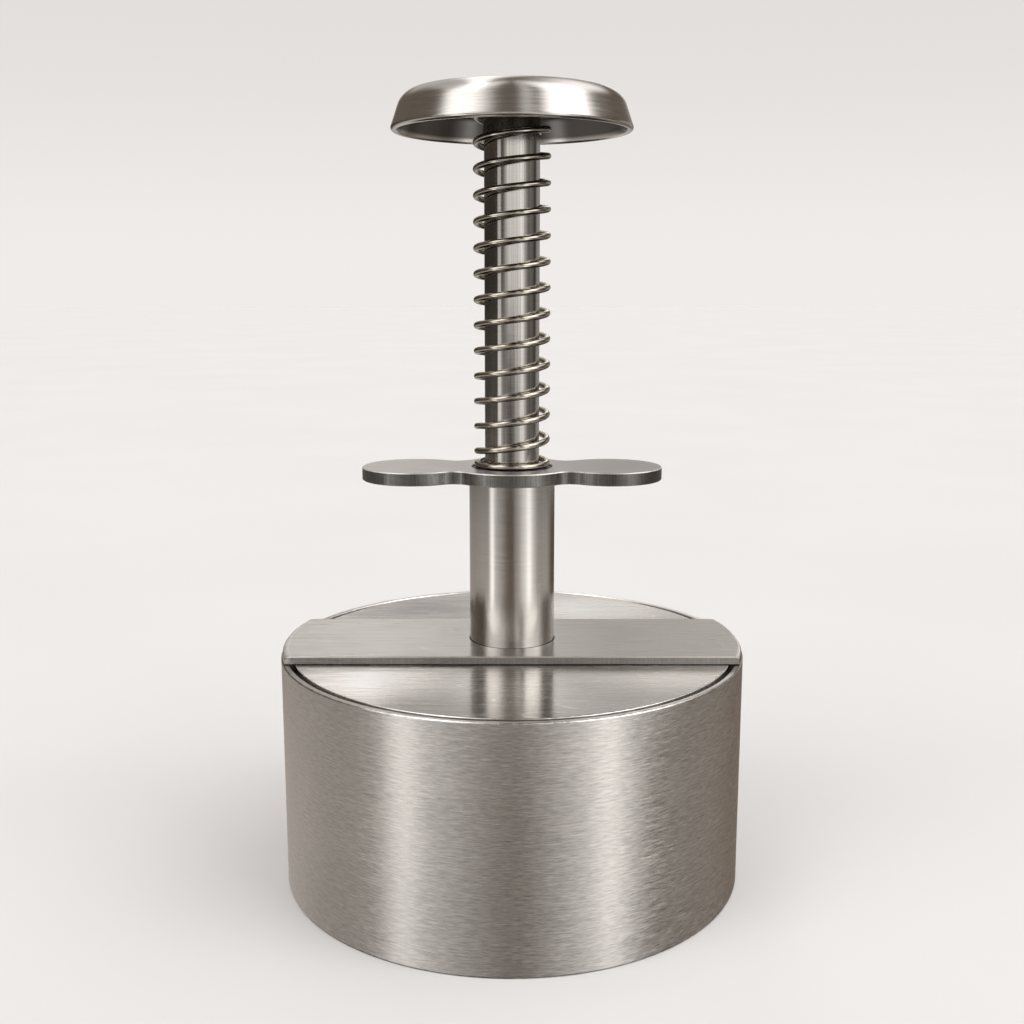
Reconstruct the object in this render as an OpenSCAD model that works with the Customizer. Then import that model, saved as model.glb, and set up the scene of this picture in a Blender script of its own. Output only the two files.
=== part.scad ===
// Burger press: a mould ring with a sprung plunger.
// The part stands on the ring's lower rim, with its origin at the centre of that rim and +Z up.

/* [Mould ring] */
// Outer diameter of the ring
ring_d = 110; // [90:0.5:140]
// Height of the ring
ring_h = 55.5; // [40:0.5:80]
// Wall of the ring
ring_wall = 1.5; // [1:0.1:3]
// Rounding of the ring's rims
ring_round = 0.4; // [0.1:0.05:0.45]

/* [Cross bar] */
// Width of the bar
bar_w = 33; // [28:0.5:60]
// Thickness of the bar
bar_t = 2; // [1.5:0.1:4]
// Rounding of the upper edge at the bar's ends
bar_round = 1.4; // [0.2:0.1:1.4]
// Chamfer of the bar's four long edges
bar_edge = 0.25; // [0.1:0.05:0.5]
// Step from the ring's outside in to the bar's ends
bar_step = 0.3; // [0:0.1:1]
// Brazing gap between the bar's hole and the guide tube
braze_gap = 0.2; // [0.05:0.05:0.4]

/* [Plunger rod] */
// Diameter of the rod
rod_d = 12.7; // [10:0.1:16]
// Radial running clearance of the rod in its bushes
rod_clear = 0.03; // [0.01:0.01:0.1]
// Diameter of the threaded stud on the rod's upper end
stud_d = 8; // [5:0.5:9]
// Length of the stud
stud_len = 5.5; // [3:0.5:6.5]

/* [Return spring] */
// Diameter of the spring wire
wire_d = 1.5; // [1:0.1:2]
// Radial gap between the rod and the inside of the coils
rod_gap = 1.05; // [0.8:0.05:2]
// Distance between the spring's seats with the plunger up
spring_len = 82.5; // [70:0.5:100]
// Turns of wire from end to end
spring_turns = 15.1; // [10:0.1:17]
// Turns that lie flat at each end
flat_turns = 0.55; // [0.3:0.05:0.6]
// Turns over which the pitch grows from flat to full
ramp_turns = 0.2; // [0.1:0.05:0.3]
// Angle of the wire's lower end, from +X towards +Y
start_angle = 126; // [0:1:359]
// Play between the end turns and their seats
spring_play = 0.3; // [0.1:0.05:0.5]

/* [Guide tube] */
// Wall of the tube
tube_wall = 0.7; // [0.5:0.1:1.5]
// Radial gap between the coils and the tube's bore
tube_gap = 0.5; // [0.4:0.1:1.5]
// Height of the tube above the bar
tube_rise = 38.75; // [28:0.25:60]

/* [Finger plate] */
// Diameter of the hub round the tube
hub_d = 29.5; // [28:0.5:40]
// Diameter of each finger lobe
lobe_d = 24.5; // [20:0.5:30]
// Distance from the axis to a lobe's centre
lobe_reach = 23; // [20:0.5:27]
// Fillet between hub and lobe
waist_r = 4; // [3:0.5:12]
// Thickness of the plate
finger_t = 3; // [2:0.1:5]
// Chamfer of the plate's edges
finger_edge = 0.2; // [0.1:0.05:0.5]

/* [Guide bushes] */
// Length of each bush
bush_len = 12; // [6:0.5:18]
// Radial gap between a bush and the tube's bore
bush_fit = 0.02; // [0.01:0.01:0.05]
// Depth of the spring's seat below the top of the finger plate
seat_sink = 0.35; // [0.1:0.05:2]

/* [Knob cap] */
// Outer diameter of the knob's rim
knob_d = 54.5; // [48:0.5:70]
// Height of the knob from rim to crown
knob_h = 10.5; // [9:0.5:16]
// Sheet thickness of the knob
knob_t = 1.5; // [0.8:0.1:2]
// Lean of the knob's wall from upright, in degrees
knob_draft = 19; // [5:1:25]
// Outer radius of the knob's shoulder
shoulder_r = 5; // [3:0.25:6]
// Radius of the knob's shallow crown
crown_r = 143; // [90:1:300]

/* [Knob boss and washer] */
// Radial gap between the boss and the inside of the coils
boss_gap = 0.8; // [0.6:0.05:0.9]
// Length of the boss below its flange
boss_len = 8; // [7.5:0.1:12]
// Diameter of the boss's flange
flange_d = 20; // [18:0.5:26]
// Thickness of the flange
flange_t = 1.5; // [0.8:0.1:2]
// Depth of the flat seat coined into the middle of the crown for the flange
coin_depth = 0.1; // [0.05:0.05:0.3]
// Radial gap round the flange in its coined seat
coin_gap = 0.3; // [0.1:0.05:0.5]
// Radial clearance of threads and screw seats
thread_clear = 0.05; // [0.02:0.01:0.1]
// Diameter of the spring washer
washer_d = 20; // [18:0.5:26]
// Thickness of the spring washer
washer_t = 1.2; // [0.5:0.1:2]
// Radial running clearance of the washer on the boss
washer_clear = 0.08; // [0.02:0.01:0.1]

/* [Press plate and screw] */
// Radial gap between the press plate and the ring
plate_gap = 1.1; // [0.5:0.1:2]
// Thickness of the press plate
plate_t = 3; // [2.5:0.1:6]
// Rounding of the press plate's edges
plate_round = 0.25; // [0.1:0.05:1.2]
// Diameter of the plate screw
screw_d = 5; // [4:0.5:6]
// Diameter of the screw's countersunk head
screw_head_d = 9.3; // [8:0.1:9.9]
// Length of the screw with its head
screw_len = 16; // [12:0.5:25]
// Width across corners of the screw's hexagon socket
socket_d = 3.46; // [2:0.01:4]
// Depth of the screw's socket
socket_depth = 1.8; // [1:0.1:2.2]

/* [Hidden] */
$fn = 144;
// Sides of the crown's large circle
crown_sides = 5 * $fn;

// Overshoot of cutting shapes past the faces they open
cut = 1;
// Room past the end of a screw or stud in its blind hole
end_room = 0.8;
// Depth to which lines and arcs run inside the arcs they join, so that they cross and don't only touch
lap = 0.003;

// Colours of the steel and of the dark plastic
brushed = [0.66, 0.64, 0.61];
light_steel = [0.72, 0.70, 0.67];
dark_steel = [0.55, 0.53, 0.50];
wire_steel = [0.60, 0.58, 0.53];
dark_plastic = [0.10, 0.10, 0.10];

// Diameters that follow from the rod outwards
coil_id = rod_d + 2 * rod_gap;
coil_mean_r = coil_id / 2 + wire_d / 2;
tube_id = coil_id + 2 * wire_d + 2 * tube_gap;
tube_d = tube_id + 2 * tube_wall;
bush_d = tube_id - 2 * bush_fit;
bush_id = rod_d + 2 * rod_clear;
boss_d = coil_id - 2 * boss_gap;
plate_d = ring_d - 2 * ring_wall - 2 * plate_gap;
bar_r = ring_d / 2 - bar_step;

// Heights from the ring's lower rim upwards
bar_z = ring_h;
finger_z = bar_z + bar_t + tube_rise;
seat_z = finger_z + finger_t - seat_sink;
washer_z = seat_z + spring_len;
flange_z = washer_z + washer_t;
boss_z = flange_z - boss_len;
plate_z = bar_z - plate_t;
knob_z = flange_z + flange_t - coin_depth + knob_t - knob_h;

// Section of the knob: a leaning wall, a round shoulder and a shallow crown, each tangent to the next
rim_r = knob_t / 2 + lap;
wall_foot = knob_d / 2 + rim_r * (1 / cos(knob_draft) + tan(knob_draft) - 1);
wall_dir = [-sin(knob_draft), cos(knob_draft)];
wall_out = [cos(knob_draft), sin(knob_draft)];
crown_mid = [0, knob_h + lap - crown_r];
shoulder_line = [wall_foot, 0] - shoulder_r * wall_out;
to_line = shoulder_line - crown_mid;
along = to_line * wall_dir;
wall_len = sqrt(along ^ 2 - to_line * to_line + (crown_r - shoulder_r) ^ 2) - along;
shoulder_mid = shoulder_line + wall_len * wall_dir;
shoulder_dir = (shoulder_mid - crown_mid) / norm(shoulder_mid - crown_mid);
rim_mid = [wall_foot - rim_r / cos(knob_draft) - rim_r * tan(knob_draft), rim_r];

// Centre of the fillet between the finger plate's hub and a lobe
hub_reach = hub_d / 2 + waist_r;
lobe_side = lobe_d / 2 + waist_r;
waist_x = (hub_reach ^ 2 - lobe_side ^ 2 + lobe_reach ^ 2) / (2 * lobe_reach);
waist_y = sqrt(hub_reach ^ 2 - waist_x ^ 2);

// Path of the spring wire, counted in turns from its lower end
steps_per_turn = 8;
wire_sides = 6;
wire_steps = round(spring_turns * steps_per_turn);
path_r = coil_mean_r * 2 / (1 + cos(180 / steps_per_turn));
wire_low = seat_z + spring_play + wire_d / 2;
wire_high = washer_z - spring_play - wire_d / 2;
rising_turns = spring_turns - 2 * flat_turns - ramp_turns;
pitch = (wire_high - wire_low) / rising_turns;

function rise_from_end(t) =
    t < flat_turns ? 0
    : t < flat_turns + ramp_turns ? (t - flat_turns) ^ 2 / (2 * ramp_turns)
    : t - flat_turns - ramp_turns / 2;
function rise(t) =
    t < spring_turns / 2 ? rise_from_end(t) : rising_turns - rise_from_end(spring_turns - t);
function turn_at(i) = spring_turns * i / wire_steps;
function angle_at(t) = start_angle + 360 * t;
function coil_point(t) =
    [path_r * cos(angle_at(t)), path_r * sin(angle_at(t)), wire_low + pitch * rise(t)];
function heading(t) = [-sin(angle_at(t)), cos(angle_at(t)), 0];

// The wire's ends run straight for one wire diameter
wire_path = concat(
    [coil_point(0) - wire_d * heading(0)],
    [for (i = [0 : wire_steps]) coil_point(turn_at(i))],
    [coil_point(spring_turns) + wire_d * heading(spring_turns)]
);
path_turns = concat([0], [for (i = [0 : wire_steps]) turn_at(i)], [spring_turns]);
path_last = len(wire_path) - 1;

// Least gap of the wire to itself, measured between path points at least half a turn apart
half_turn = steps_per_turn / 2;
wire_gaps = [
    for (i = [0 : path_last])
        for (j = [i + half_turn : 1 : path_last])
            norm(wire_path[i] - wire_path[j]) - wire_d
];
echo("least gap of the spring wire to itself, mm", min(wire_gaps));

// One ring of points round the wire, square to its slope
function slope_at(i) =
    atan2(
        wire_path[min(i + 1, path_last)].z - wire_path[max(i - 1, 0)].z,
        norm(wire_path[min(i + 1, path_last)] - wire_path[max(i - 1, 0)])
    );
function wire_ring(i) =
    let (a = angle_at(path_turns[i]), s = slope_at(i))
    let (out = [cos(a), sin(a), 0], up = [sin(s) * sin(a), -sin(s) * cos(a), cos(s)])
    [
        for (k = [0 : wire_sides - 1])
            let (q = 360 * k / wire_sides)
            wire_path[i] + wire_d / 2 * (cos(q) * out + sin(q) * up)
    ];

// Rectangle with four rounded corners
module rounded_rect(w, h, r) {
    translate([r, 0]) square([w - 2 * r, h]);
    translate([0, r]) square([w, h - 2 * r]);
    for (x = [r, w - r], y = [r, h - r])
        translate([x, y]) circle(r);
}

// Rectangle on height 0 with its width to both sides and four chamfered corners
module edged_rect(w, t, edge) {
    polygon([
        [-w / 2, edge], [edge - w / 2, 0], [w / 2 - edge, 0], [w / 2, edge],
        [w / 2, t - edge], [w / 2 - edge, t], [edge - w / 2, t], [-w / 2, t - edge]
    ]);
}

// Disc with chamfered edges
module edged_disc(r, t, edge) {
    cylinder(r1 = r - edge, r2 = r, h = edge);
    translate([0, 0, edge]) cylinder(r = r, h = t - 2 * edge);
    translate([0, 0, t - edge]) cylinder(r1 = r, r2 = r - edge, h = edge);
}

// Hole with flared mouths that leaves chamfered edges
module edged_hole(r, t, edge) {
    translate([0, 0, -cut]) cylinder(r = r, h = t + 2 * cut);
    translate([0, 0, -cut]) cylinder(r1 = r + edge + cut, r2 = r, h = edge + cut);
    translate([0, 0, t - edge]) cylinder(r1 = r, r2 = r + edge + cut, h = edge + cut);
}

// Half section of the knob's outside moved inwards by inset, with the rim at height 0
module knob_section(inset) {
    wall_top = shoulder_mid + (shoulder_r - inset - lap) * wall_out;
    polygon([[0, 0], [wall_foot - (inset + lap) / cos(knob_draft), 0], wall_top, [0, wall_top.y]]);
    intersection() {
        translate(shoulder_mid) circle(shoulder_r - inset);
        square([knob_d, knob_h]);
    }
    intersection() {
        translate(crown_mid) circle(crown_r - inset - lap, $fn = crown_sides);
        polygon([
            [0, shoulder_mid.y],
            shoulder_mid,
            shoulder_mid + 2 * shoulder_r * shoulder_dir,
            [0, shoulder_mid.y + 4 * shoulder_r]
        ]);
    }
}

module mould_ring() {
    color(brushed)
        rotate_extrude()
            translate([ring_d / 2 - ring_wall, 0])
                rounded_rect(ring_wall, ring_h, ring_round);
}

module cross_bar() {
    color(brushed)
        translate([0, 0, bar_z])
            difference() {
                intersection() {
                    rotate_extrude() {
                        square([bar_r, bar_t - bar_round]);
                        square([bar_r - bar_round, bar_t]);
                        translate([bar_r - bar_round, bar_t - bar_round]) circle(bar_round);
                    }
                    translate([-bar_r - cut, 0, 0])
                        rotate([90, 0, 90])
                            linear_extrude(2 * (bar_r + cut)) edged_rect(bar_w, bar_t, bar_edge);
                }
                translate([0, 0, -cut]) cylinder(d = tube_d + 2 * braze_gap, h = bar_t + 2 * cut);
            }
}

module guide_tube() {
    color(light_steel)
        translate([0, 0, bar_z])
            difference() {
                cylinder(d = tube_d, h = bar_t + tube_rise);
                translate([0, 0, -cut]) cylinder(d = tube_id, h = bar_t + tube_rise + 2 * cut);
            }
}

module finger_plate() {
    color(dark_steel)
        translate([0, 0, finger_z])
            difference() {
                union() {
                    edged_disc(hub_d / 2, finger_t, finger_edge);
                    for (side = [-1, 1]) {
                        translate([side * lobe_reach, 0, 0]) edged_disc(lobe_d / 2, finger_t, finger_edge);
                        linear_extrude(finger_t)
                            polygon([
                                [0, 0], [side * waist_x, waist_y],
                                [side * lobe_reach, 0], [side * waist_x, -waist_y]
                            ]);
                    }
                }
                for (x = [-waist_x, waist_x], y = [-waist_y, waist_y])
                    translate([x, y, 0]) edged_hole(waist_r + lap, finger_t, finger_edge);
                translate([0, 0, -cut]) cylinder(d = tube_id, h = finger_t + 2 * cut);
                translate([0, 0, finger_t - finger_edge])
                    cylinder(d1 = tube_id, d2 = tube_id + 2 * (finger_edge + cut), h = finger_edge + cut);
            }
}

// Plain guide bush standing on height 0
module guide_bush() {
    difference() {
        cylinder(d = bush_d, h = bush_len);
        translate([0, 0, -cut]) cylinder(d = bush_id, h = bush_len + 2 * cut);
    }
}

module upper_guide_bush() {
    color(dark_plastic) translate([0, 0, seat_z - bush_len]) guide_bush();
}

module lower_guide_bush() {
    color(dark_plastic) translate([0, 0, bar_z]) guide_bush();
}

module return_spring() {
    points = [for (i = [0 : path_last]) each wire_ring(i)];
    sides = [
        for (i = [0 : path_last - 1])
            for (k = [0 : wire_sides - 1])
                let (a = i * wire_sides + k, b = i * wire_sides + (k + 1) % wire_sides)
                each [[a, b, b + wire_sides], [a, b + wire_sides, a + wire_sides]]
    ];
    top = path_last * wire_sides;
    caps = [for (k = [1 : wire_sides - 2]) each [[0, k + 1, k], [top, top + k, top + k + 1]]];
    color(wire_steel) polyhedron(points, concat(sides, caps));
}

module spring_washer() {
    color(light_steel)
        translate([0, 0, washer_z])
            difference() {
                cylinder(d = washer_d, h = washer_t);
                translate([0, 0, -cut]) cylinder(d = boss_d + 2 * washer_clear, h = washer_t + 2 * cut);
            }
}

module plunger_rod() {
    tapped_depth = screw_len - plate_t + end_room;
    color(light_steel)
        difference() {
            union() {
                translate([0, 0, bar_z]) cylinder(d = rod_d, h = boss_z - bar_z);
                translate([0, 0, boss_z]) cylinder(d = stud_d, h = stud_len);
            }
            translate([0, 0, bar_z - cut])
                cylinder(d = screw_d + 2 * thread_clear, h = tapped_depth + cut);
        }
}

module knob_cap() {
    color(brushed)
        difference() {
            translate([0, 0, knob_z])
                rotate_extrude() {
                    difference() {
                        knob_section(0);
                        knob_section(knob_t);
                        // The sheet ends square to its wall at the rim's centre
                        polygon([
                            rim_mid + knob_t * wall_out, rim_mid - 2 * knob_t * wall_out,
                            rim_mid - 2 * knob_t * wall_out - 2 * knob_t * wall_dir,
                            rim_mid + knob_t * wall_out - 2 * knob_t * wall_dir
                        ]);
                    }
                    translate(rim_mid) circle(rim_r);
                }
            translate([0, 0, flange_z]) cylinder(d = flange_d + 2 * coin_gap, h = flange_t);
        }
}

module knob_boss() {
    color(dark_steel)
        difference() {
            union() {
                translate([0, 0, boss_z]) cylinder(d = boss_d, h = boss_len);
                translate([0, 0, flange_z]) cylinder(d = flange_d, h = flange_t);
            }
            translate([0, 0, boss_z - cut])
                cylinder(d = stud_d + 2 * thread_clear, h = stud_len + end_room + cut);
        }
}

// Height of the screw's cone, which narrows at 45 degrees to its shank
function cone_h() = (screw_head_d - screw_d) / 2;

module press_plate() {
    color(brushed)
        translate([0, 0, plate_z])
            difference() {
                rotate_extrude() {
                    square([plate_d / 2 - plate_round, plate_t]);
                    translate([0, plate_round]) square([plate_d / 2, plate_t - 2 * plate_round]);
                    for (y = [plate_round, plate_t - plate_round])
                        translate([plate_d / 2 - plate_round, y]) circle(plate_round);
                }
                translate([0, 0, -cut])
                    cylinder(d = screw_d + 2 * thread_clear, h = plate_t + 2 * cut);
                translate([0, 0, -cut])
                    cylinder(
                        d1 = screw_head_d + 2 * (thread_clear + cut),
                        d2 = screw_d + 2 * thread_clear,
                        h = cone_h() + cut
                    );
            }
}

module plate_screw() {
    color(dark_steel)
        translate([0, 0, plate_z])
            difference() {
                union() {
                    cylinder(d1 = screw_head_d, d2 = screw_d, h = cone_h());
                    translate([0, 0, cone_h()]) cylinder(d = screw_d, h = screw_len - cone_h());
                }
                translate([0, 0, -cut]) cylinder(d = socket_d, h = socket_depth + cut, $fn = 6);
            }
}

mould_ring();
cross_bar();
guide_tube();
finger_plate();
upper_guide_bush();
lower_guide_bush();
return_spring();
spring_washer();
plunger_rod();
knob_cap();
knob_boss();
press_plate();
plate_screw();
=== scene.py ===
import math

import bpy
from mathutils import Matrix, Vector


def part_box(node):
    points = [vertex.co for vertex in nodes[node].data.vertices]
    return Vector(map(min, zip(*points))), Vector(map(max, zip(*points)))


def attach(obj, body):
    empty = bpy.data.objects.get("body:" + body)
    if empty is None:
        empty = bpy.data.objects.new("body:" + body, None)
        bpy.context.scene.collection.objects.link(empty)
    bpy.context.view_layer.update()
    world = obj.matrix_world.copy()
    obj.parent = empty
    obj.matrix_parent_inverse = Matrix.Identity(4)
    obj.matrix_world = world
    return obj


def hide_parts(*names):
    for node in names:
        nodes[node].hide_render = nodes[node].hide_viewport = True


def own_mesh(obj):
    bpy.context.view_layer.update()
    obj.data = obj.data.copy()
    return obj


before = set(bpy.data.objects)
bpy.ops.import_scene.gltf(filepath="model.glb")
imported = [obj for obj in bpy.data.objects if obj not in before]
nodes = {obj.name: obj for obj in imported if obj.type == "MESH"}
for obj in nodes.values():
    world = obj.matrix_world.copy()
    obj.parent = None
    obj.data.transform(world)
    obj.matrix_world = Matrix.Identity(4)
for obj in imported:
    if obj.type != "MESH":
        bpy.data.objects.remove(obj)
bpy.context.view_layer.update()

MM = 0.001


# Node trees

class Tree:
    """A node tree, with short calls to add and link nodes."""

    NOISE_LOW = 0.3
    NOISE_HIGH = 0.7
    MIX_SOCKETS = {"VECTOR": (4, 5, 1), "RGBA": (6, 7, 2)}

    def __init__(self, owner):
        owner.use_nodes = True
        self.owner = owner
        self.nodes = owner.node_tree.nodes
        self.links = owner.node_tree.links
        self.nodes.clear()

    def add(self, kind, **settings):
        node = self.nodes.new(kind)
        for key, value in settings.items():
            setattr(node, key, value)
        return node

    def put(self, socket, value):
        if isinstance(value, bpy.types.NodeSocket):
            self.links.new(value, socket)
        else:
            socket.default_value = value

    def math(self, operation, a, b=0.0):
        node = self.add("ShaderNodeMath", operation=operation)
        self.put(node.inputs[0], a)
        self.put(node.inputs[1], b)
        return node.outputs[0]

    def total(self, values):
        result = values[0]
        for value in values[1:]:
            result = self.math("ADD", result, value)
        return result

    def product(self, values):
        result = values[0]
        for value in values[1:]:
            result = self.math("MULTIPLY", result, value)
        return result

    def vector(self, operation, a, b=(0.0, 0.0, 0.0)):
        node = self.add("ShaderNodeVectorMath", operation=operation)
        self.put(node.inputs[0], a)
        self.put(node.inputs[1], b)
        return node.outputs["Value" if operation in ("LENGTH", "DOT_PRODUCT") else "Vector"]

    def scaled(self, vector, factor):
        """The vector or colour times a number."""
        node = self.add("ShaderNodeVectorMath", operation="SCALE")
        self.put(node.inputs[0], vector)
        self.put(node.inputs["Scale"], factor)
        return node.outputs["Vector"]

    def split(self, vector):
        node = self.add("ShaderNodeSeparateXYZ")
        self.put(node.inputs[0], vector)
        return node.outputs

    def join(self, x, y, z):
        node = self.add("ShaderNodeCombineXYZ")
        for socket, value in zip(node.inputs, (x, y, z)):
            self.put(socket, value)
        return node.outputs[0]

    def span(self, value, low, high, to_low=0.0, to_high=1.0, curve="LINEAR"):
        """The value's range from low to high, spread from to_low to to_high and clamped."""
        node = self.add("ShaderNodeMapRange", clamp=True, interpolation_type=curve)
        for key, number in zip(
            ("Value", "From Min", "From Max", "To Min", "To Max"),
            (value, low, high, to_low, to_high),
        ):
            self.put(node.inputs[key], number)
        return node.outputs["Result"]

    def noise(self, place, detail=2.0, rough=0.6):
        node = self.add("ShaderNodeTexNoise")
        self.put(node.inputs["Vector"], place)
        node.inputs["Scale"].default_value = 1.0
        node.inputs["Detail"].default_value = detail
        node.inputs["Roughness"].default_value = rough
        return node.outputs["Fac"]

    def vary(self, noise, low, high):
        """The usual values of a noise, spread from low to high."""
        return self.span(noise, self.NOISE_LOW, self.NOISE_HIGH, low, high)

    def mix(self, kind, factor, a, b):
        """a where the factor is 0 and b where it is 1, as vectors or colours."""
        first, second, result = self.MIX_SOCKETS[kind]
        node = self.add("ShaderNodeMix", data_type=kind)
        self.put(node.inputs["Factor"], factor)
        self.put(node.inputs[first], a)
        self.put(node.inputs[second], b)
        return node.outputs[result]


class Surface(Tree):
    """A material's node tree round one shader. Its lengths are in millimetres."""

    def __init__(self, name):
        super().__init__(bpy.data.materials.new(name))
        out = self.add("ShaderNodeOutputMaterial")
        self.shader = self.add("ShaderNodeBsdfPrincipled")
        self.links.new(self.shader.outputs["BSDF"], out.inputs["Surface"])
        spot = self.add("ShaderNodeTexCoord")
        self.place = self.scaled(spot.outputs["Object"], 1.0 / MM)
        self.facing = spot.outputs["Normal"]
        flat = self.vector("MULTIPLY", self.place, (1.0, 1.0, 0.0))
        self.radius = self.vector("LENGTH", flat)
        self.away = self.vector("NORMALIZE", flat)

    def stretched(self, x, y, z):
        """The place in units of a grain with these lengths along the axes."""
        return self.vector("MULTIPLY", self.place, (1.0 / x, 1.0 / y, 1.0 / z))

    def turned(self, along, across):
        """The place in units of a grain that runs round the Z axis."""
        x, y, z = self.split(self.place)
        row = self.math("ADD", self.radius, z)
        return self.vector(
            "MULTIPLY", self.join(x, y, row), (1.0 / along, 1.0 / along, 1.0 / across)
        )

    def height(self):
        return self.split(self.place)["Z"]

    def upward(self):
        """How much the surface faces up, from -1 to 1."""
        return self.split(self.facing)["Z"]

    def outward(self):
        """How much the surface faces away from the Z axis, from -1 to 1."""
        return self.vector("DOT_PRODUCT", self.away, self.facing)

    def to_world(self, vector):
        node = self.add(
            "ShaderNodeVectorTransform", vector_type="VECTOR", convert_from="OBJECT", convert_to="WORLD"
        )
        self.put(node.inputs[0], vector)
        return node.outputs[0]

    def bump(self, height, depth, normal=None):
        node = self.add("ShaderNodeBump")
        node.inputs["Strength"].default_value = 1.0
        node.inputs["Distance"].default_value = depth * MM
        self.put(node.inputs["Height"], height)
        if normal:
            self.put(node.inputs["Normal"], normal)
        self.put(self.shader.inputs["Normal"], node.outputs["Normal"])


class Steel(Surface):
    """Brushed steel, with its shade and its roughness as products of factors."""

    CLOUD_SIZE = 30.0
    CLOUD_CONTRAST = 0.04
    QUARTER_TURN = 0.25
    UPRIGHT_LIMITS = (0.3, 0.6)
    EDGE_SLOPE = 0.7
    EDGE_LIMITS = (0.1, 0.25)
    SAW_PITCH = 0.16
    SAW_LENGTH = 8.0
    SAW_LIMITS = (0.35, 0.65)
    NOISE_MIDDLE = 0.5
    SCRATCHED_LIMITS = (0.5, 0.6)

    def __init__(self, name, rough, aniso):
        super().__init__(name)
        self.normal = None
        self.rough = rough
        self.roughs = []
        cloud = self.noise(self.stretched(self.CLOUD_SIZE, self.CLOUD_SIZE, self.CLOUD_SIZE))
        self.shades = [self.vary(cloud, 1.0 - self.CLOUD_CONTRAST, 1.0 + self.CLOUD_CONTRAST)]
        self.shader.inputs["Metallic"].default_value = 1.0
        self.shader.inputs["Anisotropic"].default_value = aniso
        self.shader.inputs["Anisotropic Rotation"].default_value = self.QUARTER_TURN

    def marks(self, fine, coarse, contrast, uneven=0.15):
        """Brush marks from the places of a fine and a coarse grain, with uneven roughness."""
        hair = self.noise(fine)
        streak = self.noise(coarse, detail=3.0)
        self.shades.append(self.vary(hair, 1.0 - contrast, 1.0 + contrast))
        self.shades.append(self.vary(streak, 1.0 - contrast / 2, 1.0 + contrast / 2))
        self.relief = self.math("ADD", hair, streak)
        self.roughs.append(self.span(
            self.relief, 2 * self.NOISE_LOW, 2 * self.NOISE_HIGH,
            (1.0 - uneven) * self.rough, (1.0 + uneven) * self.rough,
        ))

    def brush_round(self, fine, coarse, contrast, uneven=0.15):
        """Brush marks round the Z axis. fine and coarse give lengths along and across a mark."""
        self.marks(self.turned(*fine), self.turned(*coarse), contrast, uneven)
        node = self.add("ShaderNodeTangent", direction_type="RADIAL", axis="Z")
        self.put(self.shader.inputs["Tangent"], node.outputs["Tangent"])

    def brush_along(self, fine, coarse, contrast):
        """Brush marks along X. fine and coarse give lengths along and across a mark."""
        self.marks(
            self.stretched(fine[0], fine[1], fine[1]),
            self.stretched(coarse[0], coarse[1], coarse[1]),
            contrast,
        )
        self.put(self.shader.inputs["Tangent"], self.to_world((1.0, 0.0, 0.0)))

    def upright(self):
        """1 on upright faces and 0 on flat ones."""
        return self.span(self.math("ABSOLUTE", self.upward()), *self.UPRIGHT_LIMITS, 1.0, 0.0)

    def sloped(self, level):
        """1 on edges that face up or down by this level, and 0 on upright and flat faces."""
        off = self.math("ABSOLUTE", self.math("SUBTRACT", self.upward(), level))
        return self.span(off, *self.EDGE_LIMITS, 1.0, 0.0)

    def shade(self, mask, factor):
        """Multiply the shade by a factor where the mask is 1."""
        self.shades.append(self.span(mask, 0.0, 1.0, 1.0, factor))

    def darker_upright_with_saw_marks(self, factor, marked):
        """Upright faces are darker by a factor of their own, with fine upright saw marks."""
        mask = self.upright()
        self.shade(mask, factor)
        marks = self.noise(self.stretched(self.SAW_PITCH, self.SAW_PITCH, self.SAW_LENGTH))
        self.shade(self.math("MULTIPLY", mask, self.span(marks, *self.SAW_LIMITS)), marked)

    def highlight_upper_edges(self, factor, rougher):
        """Upper edges that slope get a painted highlight, as a paler shade, and a roughness of their
        own.
        """
        edge = self.sloped(self.EDGE_SLOPE)
        self.shade(edge, factor)
        self.roughs.append(self.span(edge, 0.0, 1.0, 1.0, rougher))

    def shade_lower_edges(self, factor):
        # Painted shade on lower edges that slope, darker by the factor
        self.shade(self.sloped(-self.EDGE_SLOPE), factor)

    def painted_light_spot(self, x, y, reach, factor):
        """A soft spot seen from above: a painted highlight where the factor is above 1, painted shade
        where it is below.
        """
        off = self.vector("SUBTRACT", self.place, (x, y, 0.0))
        off = self.vector("MULTIPLY", off, (1.0 / reach[0], 1.0 / reach[1], 0.0))
        distance = self.vector("LENGTH", off)
        self.shades.append(self.span(distance, 0.0, 1.0, factor, 1.0, "SMOOTHSTEP"))

    def scratches(self, x, y, width, factor):
        """Pale thin scratches, with their usual lengths along X and Y."""
        wander = self.noise(self.stretched(x, y, y), detail=1.0)
        off = self.math("ABSOLUTE", self.math("SUBTRACT", wander, self.NOISE_MIDDLE))
        line = self.span(off, 0.0, width, 1.0, 0.0)
        some = self.span(self.noise(self.stretched(x / 3, y, y)), *self.SCRATCHED_LIMITS)
        self.shade(self.math("MULTIPLY", line, some), factor)

    def upright_plane(self, out, up):
        """A vector in the plane through the Z axis, from its parts away from the axis and up."""
        return self.vector("ADD", self.scaled(self.away, out), self.join(0.0, 0.0, up))

    def world_normal(self, own):
        return self.vector("NORMALIZE", self.to_world(own))

    def round_normal(self):
        """Exact normal of any face turned about Z, with the slope of the mesh's own normal."""
        self.normal = self.world_normal(self.upright_plane(self.outward(), self.upward()))

    def band_normal(self, middle, half, corner):
        """Exact normal of a band turned about Z, with a rectangle of rounded corners as its section.

        middle and half hold the section's centre and half size in radius and height.
        """
        section = []
        for value, centre, reach in zip((self.radius, self.height()), middle, half):
            off = self.math("SUBTRACT", value, centre)
            past = self.math("SUBTRACT", self.math("ABSOLUTE", off), reach - corner)
            section.append(
                self.math("MULTIPLY", self.math("SIGN", off), self.math("MAXIMUM", past, 0.0))
            )
        own = self.upright_plane(*section)
        self.facing = self.vector("NORMALIZE", own)
        self.normal = self.world_normal(own)

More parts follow.
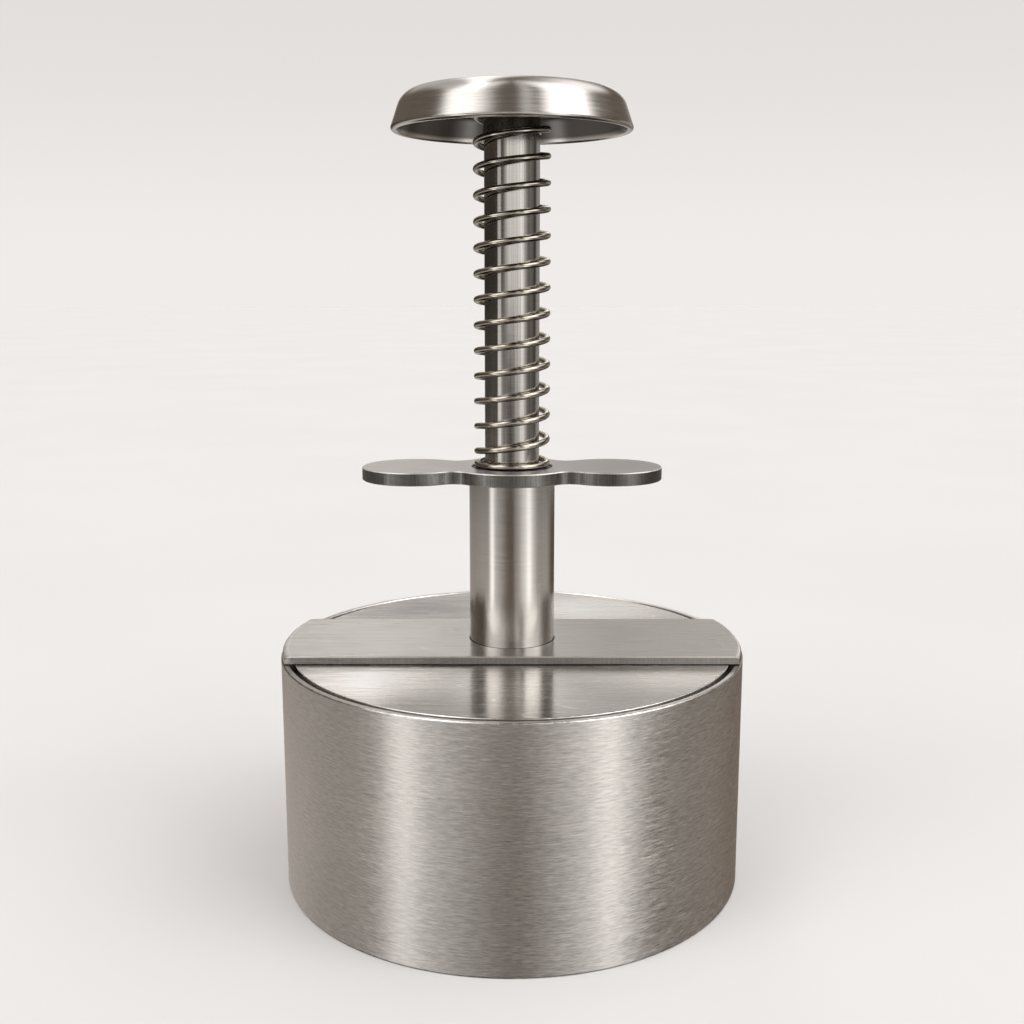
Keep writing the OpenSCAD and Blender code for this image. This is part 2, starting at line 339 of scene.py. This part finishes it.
    def rim_normal(self, middle, wall):
        """Exact normal of a round rim turned about Z, below the square end of a wall.

        middle is the rim's centre and wall the wall's direction, both in radius and height.
        """
        out = self.math("SUBTRACT", self.radius, middle[0])
        up = self.math("SUBTRACT", self.height(), middle[1])
        along = self.math(
            "ADD", self.math("MULTIPLY", out, wall[0]), self.math("MULTIPLY", up, wall[1])
        )
        below_wall = self.math("LESS_THAN", along, 0.0)
        rim = self.world_normal(self.upright_plane(out, up))
        self.normal = self.mix("VECTOR", below_wall, self.normal, rim)

    def finish(self, colour, depth):
        """Set colour and relief, and give back the material."""
        self.put(self.shader.inputs["Base Color"], self.scaled(colour, self.product(self.shades)))
        self.put(self.shader.inputs["Roughness"], self.product(self.roughs))
        self.bump(self.relief, depth, self.normal)
        return self.owner


def dress(node, material):
    nodes[node].data.materials.clear()
    nodes[node].data.materials.append(material)


def box_mm(node):
    """Lowest and highest corner of a CAD node in millimetres."""
    low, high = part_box(node)
    return Vector(low) / MM, Vector(high) / MM


STEEL = (0.600, 0.582, 0.560)


# Mould ring

RING_WALL = 1.5
RING_ROUND = 0.4

_, ring_high = box_mm("mould_ring")
ring = Steel("ring_brushed", rough=0.34, aniso=0.88)
ring.brush_round(fine=(2.2, 0.2), coarse=(7, 0.42), contrast=0.27, uneven=0.28)
pits = ring.noise(ring.stretched(0.6, 0.6, 0.4))
ring.shade(ring.span(pits, 0.70, 0.76), factor=0.7)
ring.band_normal(
    middle=(ring_high.x - RING_WALL / 2, ring_high.z / 2),
    half=(RING_WALL / 2, ring_high.z / 2),
    corner=RING_ROUND,
)
# Painted highlight on the sloped upper edges of the rim, with rougher steel there
ring.highlight_upper_edges(factor=1.5, rougher=0.6)
dress("mould_ring", ring.finish(colour=(0.64, 0.62, 0.595), depth=0.003))


# Press plate

PLATE_ROUND = 0.25

plate_low, plate_high = box_mm("press_plate")
plate_middle = (plate_low.z + plate_high.z) / 2
plate = Steel("plate_brushed", rough=0.26, aniso=0.97)
plate.brush_along(fine=(10, 0.7), coarse=(26, 2.2), contrast=0.13)
plate.band_normal(
    middle=(0.0, plate_middle),
    half=(plate_high.x, plate_high.z - plate_middle),
    corner=PLATE_ROUND,
)
# Painted highlights as pale soft spots, and painted shade as one darker spot at the back left
plate.painted_light_spot(-31, -28, reach=(24, 20), factor=1.85)
plate.painted_light_spot(36, -25, reach=(28, 16), factor=1.62)
plate.painted_light_spot(24, 34, reach=(32, 26), factor=1.84)
plate.painted_light_spot(-24, 34, reach=(32, 26), factor=0.68)
plate.painted_light_spot(0, -34, reach=(16, 24), factor=1.65)
plate.scratches(18, 6, width=0.012, factor=1.5)
# Painted highlight on the plate's sloped upper edges
plate.highlight_upper_edges(factor=1.6, rougher=0.7)
dress("press_plate", plate.finish(STEEL, depth=0.003))


# Cross bar, with a painted highlight on the rounding at its left end

END_ROUNDING = (53.0, 54.0)

bar = Steel("bar_brushed", rough=0.30, aniso=0.96)
bar.brush_along(fine=(9, 0.6), coarse=(24, 2.0), contrast=0.10)
bar.scratches(16, 5, width=0.008, factor=1.2)
# Painted highlight on the sloped upper edges, and painted shade on the lower ones where the bar meets
# the plate
bar.highlight_upper_edges(factor=1.6, rougher=1.4)
bar.shade_lower_edges(factor=0.08)
bar.darker_upright_with_saw_marks(factor=0.9, marked=0.65)
# Painted highlight on the rounding at the bar's left end
left_side = bar.span(bar.split(bar.place)["X"], -10, 10, 1.0, 0.0)
left_end_highlight = bar.math("MULTIPLY", bar.span(bar.radius, *END_ROUNDING), left_side)
bar.shade(left_end_highlight, factor=1.8)
dress("cross_bar", bar.finish(STEEL, depth=0.003))


# Guide tube, washer and screw

tube = Steel("tube_turned", rough=0.13, aniso=0.85)
tube.brush_round(fine=(5, 0.16), coarse=(9, 0.5), contrast=0.05)
tube.round_normal()
tube_steel = tube.finish(STEEL, depth=0.002)
dress("guide_tube", tube_steel)
dress("spring_washer", tube_steel)

screw = Steel("screw_turned", rough=0.2, aniso=0.5)
screw.brush_round(fine=(5, 0.16), coarse=(9, 0.5), contrast=0.05)
dress("plate_screw", screw.finish(STEEL, depth=0.002))


# Plunger rod and boss

rod = Steel("rod_drawn", rough=0.12, aniso=0.7)
rod.brush_round(fine=(5, 0.14), coarse=(9, 0.5), contrast=0.05)
streaks = rod.noise(rod.stretched(0.4, 0.4, 45))
rod.shades.append(rod.vary(streaks, 0.82, 1.18))
rod.round_normal()
rod_steel = rod.finish(colour=(0.57, 0.545, 0.51), depth=0.001)
dress("plunger_rod", rod_steel)
dress("knob_boss", rod_steel)


# Finger plate

finger = Steel("finger_brushed", rough=0.36, aniso=0.8)
finger.brush_along(fine=(6, 0.7), coarse=(16, 2.0), contrast=0.10)
finger.darker_upright_with_saw_marks(factor=0.45, marked=0.6)
# Painted shade as a darker soft spot on the right of the top
finger.painted_light_spot(26, 0, reach=(32, 32), factor=0.78)
# Painted highlight on the sloped upper edges, and painted shade on the lower ones
finger.highlight_upper_edges(factor=1.8, rougher=1.4)
finger.shade_lower_edges(factor=0.55)
dress("finger_plate", finger.finish(colour=(0.505, 0.490, 0.471), depth=0.004))


# Knob, with painted shade inside its hollow

KNOB_DRAFT = math.radians(19)
RIM_RADIUS = 0.753
INSIDE_START = 0.6
INSIDE_FULL = 1.4

knob_low, knob_high = box_mm("knob_cap")
knob = Steel("knob_satin", rough=0.23, aniso=0.85)
knob.brush_round(fine=(6, 0.2), coarse=(14, 0.6), contrast=0.08)
knob.round_normal()
knob.rim_normal(
    middle=(knob_high.x - RIM_RADIUS, knob_low.z + RIM_RADIUS),
    wall=(-math.sin(KNOB_DRAFT), math.cos(KNOB_DRAFT)),
)
# Painted shade on the faces inside the knob's hollow, above its rim
inward = knob.span(knob.outward(), -0.1, -0.4)
downward = knob.span(knob.upward(), -0.2, -0.6)
above_rim = knob.span(knob.height(), knob_low.z + INSIDE_START, knob_low.z + INSIDE_FULL)
inside = knob.math("MULTIPLY", knob.math("MAXIMUM", inward, downward), above_rim)
knob.shade(inside, factor=0.21)
dress("knob_cap", knob.finish(STEEL, depth=0.002))


# Guide bushes of black plastic

BLACK = (0.02, 0.02, 0.02)

bush = Surface("bush_black")
grain = bush.noise(bush.stretched(0.3, 0.3, 0.3), detail=3.0)
bush.put(bush.shader.inputs["Base Color"], bush.scaled(BLACK, bush.vary(grain, 0.7, 1.3)))
bush.put(bush.shader.inputs["Roughness"], bush.vary(grain, 0.42, 0.55))
bush.bump(grain, depth=0.01)
dress("upper_guide_bush", bush.owner)
dress("lower_guide_bush", bush.owner)


# Return spring, a helix of drawn wire with flat end turns and rounded wire ends

SEAT_Z = 98.9 * MM
SPRING_LEN = 82.5 * MM
WIRE_R = 0.75 * MM
COIL_R = 8.15 * MM
TURNS = 15.1
FLAT_TURNS = 0.55
RAMP_TURNS = 0.2
START_ANGLE = math.radians(126)
PLAY = 0.3 * MM
STRAIGHT_END = 2 * WIRE_R
END_ROUND = 0.35 * WIRE_R
END_RINGS = 5
STEPS_PER_TURN = 56
WIRE_SIDES = 14

wire = Steel("spring_wire_drawn", rough=0.11, aniso=0.0)
wire.marks(wire.stretched(0.5, 0.5, 0.5), wire.stretched(4, 4, 4), contrast=0.08)
# Painted shade on the underside of the wire
wire.shade(wire.span(wire.upward(), -0.2, -0.7), factor=0.25)
wire_steel = wire.finish(colour=(0.50, 0.465, 0.40), depth=0.001)

low_z = SEAT_Z + PLAY + WIRE_R
high_z = SEAT_Z + SPRING_LEN - PLAY - WIRE_R
rising_turns = TURNS - 2 * FLAT_TURNS - RAMP_TURNS
pitch = (high_z - low_z) / rising_turns


def risen(turns):
    """Pitches that the wire has left its end by, this many turns from that end."""
    if turns < FLAT_TURNS:
        return 0.0
    if turns < FLAT_TURNS + RAMP_TURNS:
        return (turns - FLAT_TURNS) ** 2 / (2 * RAMP_TURNS)
    return turns - FLAT_TURNS - RAMP_TURNS / 2


def coil_point(turns):
    if turns < TURNS / 2:
        pitches = risen(turns)
    else:
        pitches = rising_turns - risen(TURNS - turns)
    angle = START_ANGLE + 2 * math.pi * turns
    return Vector((COIL_R * math.cos(angle), COIL_R * math.sin(angle), low_z + pitch * pitches))


def wire_rings():
    """Centre and relative size of each ring of points along the wire."""
    steps = round(TURNS * STEPS_PER_TURN)
    path = [coil_point(TURNS * i / steps) for i in range(steps + 1)]
    first = (path[0] - path[1]).normalized()
    last = (path[-1] - path[-2]).normalized()
    path = [path[0] + first * STRAIGHT_END] + path + [path[-1] + last * STRAIGHT_END]
    head, tail = [], []
    for k in range(1, END_RINGS + 1):
        q = math.pi / 2 * k / END_RINGS
        size = 1.0 - (END_ROUND / WIRE_R) * (1.0 - math.cos(q))
        head.insert(0, (path[0] + first * END_ROUND * math.sin(q), size))
        tail.append((path[-1] + last * END_ROUND * math.sin(q), size))
    return head + [(point, 1.0) for point in path] + tail


def spring_mesh():
    rings = wire_rings()
    last_ring = len(rings) - 1
    verts, faces = [], []
    for i, (point, size) in enumerate(rings):
        ahead = rings[min(i + 1, last_ring)][0] - rings[max(i - 1, 0)][0]
        out = Vector((point.x, point.y, 0.0)).normalized()
        up = ahead.normalized().cross(-out).normalized()
        for k in range(WIRE_SIDES):
            q = 2 * math.pi * k / WIRE_SIDES
            verts.append(point + WIRE_R * size * (math.cos(q) * out + math.sin(q) * up))
    for i in range(last_ring):
        for k in range(WIRE_SIDES):
            a = i * WIRE_SIDES + k
            b = i * WIRE_SIDES + (k + 1) % WIRE_SIDES
            faces.append((a, b, b + WIRE_SIDES, a + WIRE_SIDES))
    faces.append(tuple(reversed(range(WIRE_SIDES))))
    faces.append(tuple(range(last_ring * WIRE_SIDES, len(verts))))
    mesh = bpy.data.meshes.new("spring_coil")
    mesh.from_pydata(verts, [], faces)
    mesh.update()
    for face in mesh.polygons:
        face.use_smooth = len(face.vertices) == 4
    mesh.materials.append(wire_steel)
    return mesh


spring = bpy.data.objects.new("spring_coil", spring_mesh())
bpy.context.scene.collection.objects.link(spring)
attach(spring, "frame")
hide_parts("return_spring")
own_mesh(spring)


# Floor and overhead light

FLOOR_RADIUS = 8.0
FLOOR_SIDES = 96
FLOOR_GREY = (0.70, 0.70, 0.70)
FLECK_SIZE = 200

floor_paint = Surface("floor_paint")
fleck = floor_paint.noise(floor_paint.stretched(FLECK_SIZE, FLECK_SIZE, FLECK_SIZE))
floor_paint.put(
    floor_paint.shader.inputs["Base Color"],
    floor_paint.scaled(FLOOR_GREY, floor_paint.vary(fleck, 0.985, 1.015)),
)
floor_paint.shader.inputs["Roughness"].default_value = 0.9
floor_paint.shader.inputs["Specular IOR Level"].default_value = 0.1


def disc_mesh(radius, sides):
    """A flat round floor at height 0."""
    turn = 2 * math.pi / sides
    rim = [(radius * math.cos(turn * i), radius * math.sin(turn * i), 0.0) for i in range(sides)]
    mesh = bpy.data.meshes.new("floor")
    mesh.from_pydata(rim, [], [tuple(range(sides))])
    mesh.materials.append(floor_paint.owner)
    return mesh


floor = bpy.data.objects.new("floor", disc_mesh(FLOOR_RADIUS, FLOOR_SIDES))
floor.visible_glossy = False
floor.visible_shadow = False
bpy.context.scene.collection.objects.link(floor)

sun = bpy.data.lights.new("overhead_light", "SUN")
sun.energy = 0.85
sun.angle = math.radians(70)
overhead_light = bpy.data.objects.new("overhead_light", sun)
overhead_light.rotation_euler = (math.radians(12), 0.0, 0.0)
overhead_light.visible_glossy = False
bpy.context.scene.collection.objects.link(overhead_light)


# Studio

# A soft world with bright panels left and right of the camera, in layers by height. A direction
# has an azimuth in degrees, with 0 towards the camera and 90 to the right, and a height, from -1
# straight down to 1 straight up.
studio = bpy.data.worlds.new("studio")
sky = Tree(studio)
way = sky.split(sky.add("ShaderNodeTexCoord").outputs["Generated"])
front = sky.math("MULTIPLY", way["Y"], -1.0)
azimuth = sky.math("DEGREES", sky.math("ARCTAN2", way["X"], front))
height = way["Z"]
behind = sky.math("ABSOLUTE", azimuth)


def rise(value, low, high):
    """0 below low, 1 above high and smooth between."""
    return sky.span(value, low, high, 0.0, 1.0, "SMOOTHSTEP")


def fall(value, low, high):
    """1 below low, 0 above high and smooth between."""
    return sky.span(value, low, high, 1.0, 0.0, "SMOOTHSTEP")


def panel(start, end, power):
    """A bright upright panel whose two edges run over spans of azimuth."""
    return sky.product([rise(azimuth, *start), fall(azimuth, *end), power])


def back(left, right):
    """The wall behind the part, with its power at the left and at the right."""
    return sky.math("MULTIPLY", rise(behind, 158, 172), sky.span(way["X"], -0.05, 0.05, left, right))


# Each layer has the heights over which it gives way to the next one, and its lights
LAYERS = [
    # Up to the ring's mirror image
    (-0.34, -0.27, [
        sky.span(azimuth, -80, 20, 0.46, 0.05),
        panel((-70, -52), (-46, 8), 0.86),
        panel((-63, -54), (-50, -41), 0.80),
        panel((0, 48), (48, 74), 1.18),
        panel((38, 46), (49, 58), 0.70),
        panel((78, 98), (110, 140), 0.10),
        back(0.25, 0.25),
    ]),
    # The guide tube's mirror image
    (-0.19, -0.12, [
        sky.math("MULTIPLY", sky.span(azimuth, -130, -72, 0.28, 0.41), fall(azimuth, -66, -40)),
        panel((-70, -57), (-52, -6), 0.60),
        panel((-63, -56), (-53, -46), 0.66),
        panel((0, 12), (50, 84), 0.26),
        panel((10, 43), (50, 84), 0.86),
        panel((36, 45), (49, 58), 0.42),
        panel((62, 84), (104, 138), 0.37),
        back(0.18, 0.35),
    ]),
    # The lower rod's mirror image
    (-0.05, -0.015, [
        panel((-65, -59), (-52, -36), 0.85),
        panel((-50, -40), (-30, -8), 0.17),
        panel((-4, 40), (45, 72), 0.70),
        panel((36, 43), (47, 54), 0.20),
        panel((52, 70), (90, 112), 0.06),
        panel((108, 130), (150, 170), 0.30),
        0.05,
        back(0.35, 0.35),
    ]),
    # The upper rod's mirror image
    (0.16, 0.28, [
        panel((-64, -58), (-52, -42), 0.62),
        panel((-44, -10), (42, 72), 0.95),
        panel((30, 40), (45, 52), 0.25),
        panel((52, 70), (90, 112), 0.13),
        panel((108, 130), (150, 170), 0.30),
        0.02,
        back(0.36, 0.30),
    ]),
    # Above
    (2.0, 3.0, [
        panel((-84, -66), (-50, -12), 1.66),
        panel((4, 16), (17, 30), 0.55),
        panel((28, 44), (74, 96), 1.85),
        0.055,
        sky.math("MULTIPLY", back(0.50, 1.55), fall(height, 0.34, 0.5)),
    ]),
]
below = None
lights = []
for start, end, parts in LAYERS:
    above = rise(height, start, end)
    weight = sky.math("SUBTRACT", 1.0, above)
    if below:
        weight = sky.math("MULTIPLY", weight, below)
    lights.append(sky.math("MULTIPLY", sky.total(parts), weight))
    below = above

# Strips of light overhead that draw together towards the back, with a dark gap between them
STRIP_SLANT = 0.33
slant = sky.math("MULTIPLY", front, STRIP_SLANT)
left_way = sky.math("ADD", way["X"], slant)
right_way = sky.math("SUBTRACT", way["X"], slant)
strips = sky.total([
    sky.product([
        rise(left_way, -0.45, -0.36), fall(left_way, -0.26, -0.19),
        rise(front, -1.2, -0.7), rise(height, 0.42, 0.56), 1.75,
    ]),
    sky.product([
        rise(left_way, -0.80, -0.65), fall(left_way, -0.45, -0.36), rise(height, 0.36, 0.5), 0.50,
    ]),
    sky.product([
        rise(right_way, 0.16, 0.56), fall(right_way, 0.74, 0.9),
        rise(front, -0.85, -0.45), rise(height, 0.46, 0.62), 1.4,
    ]),
])
lights.append(sky.math("MULTIPLY", strips, fall(front, 0.2, 0.45)))

# The lights end above the floor, and a faint warm haze fills the dark
neutral = sky.math("MULTIPLY", sky.total(lights), rise(height, -0.62, -0.5))
haze = sky.total([
    sky.product([rise(height, -0.68, -0.44), fall(height, -0.3, -0.08), 0.15]),
    sky.math("MULTIPLY", rise(height, 0.0, 0.3), 0.08),
    0.02,
])
LIGHT_COLOUR = (1.0, 0.99, 0.98)
HAZE_COLOUR = (1.0, 0.73, 0.50)
lit = sky.vector("ADD", sky.scaled(LIGHT_COLOUR, neutral), sky.scaled(HAZE_COLOUR, haze))

# What the camera sees of the world is a plain wall that starts in the far floor's colour
WALL_FOOT = (0.87, 0.845, 0.82, 1.0)
WALL_TOP = (0.765, 0.74, 0.72, 1.0)
wall = sky.mix("RGBA", rise(height, 0.0, 0.2), WALL_FOOT, WALL_TOP)
seen = sky.add("ShaderNodeLightPath").outputs["Is Camera Ray"]
glow = sky.add("ShaderNodeBackground")
sky.put(glow.inputs["Color"], sky.mix("RGBA", seen, lit, wall))
sky.put(sky.add("ShaderNodeOutputWorld").inputs["Surface"], glow.outputs["Background"])
bpy.context.scene.world = studio


# Camera

CAMERA_BACK = 290.289 * MM
CAMERA_UP = 141.308 * MM
CAMERA_DOWN_TILT = 10.373

eye = bpy.data.cameras.new("camera")
eye.sensor_width = 36.0
eye.lens = 43.684
eye.clip_start, eye.clip_end = 0.01, 50.0
camera = bpy.data.objects.new("camera", eye)
camera.location = (0.0, -CAMERA_BACK, CAMERA_UP)
camera.rotation_euler = (math.radians(90.0 - CAMERA_DOWN_TILT), 0.0, 0.0)
bpy.context.scene.collection.objects.link(camera)
bpy.context.scene.camera = camera
bpy.context.scene.view_settings.view_transform = "Standard"
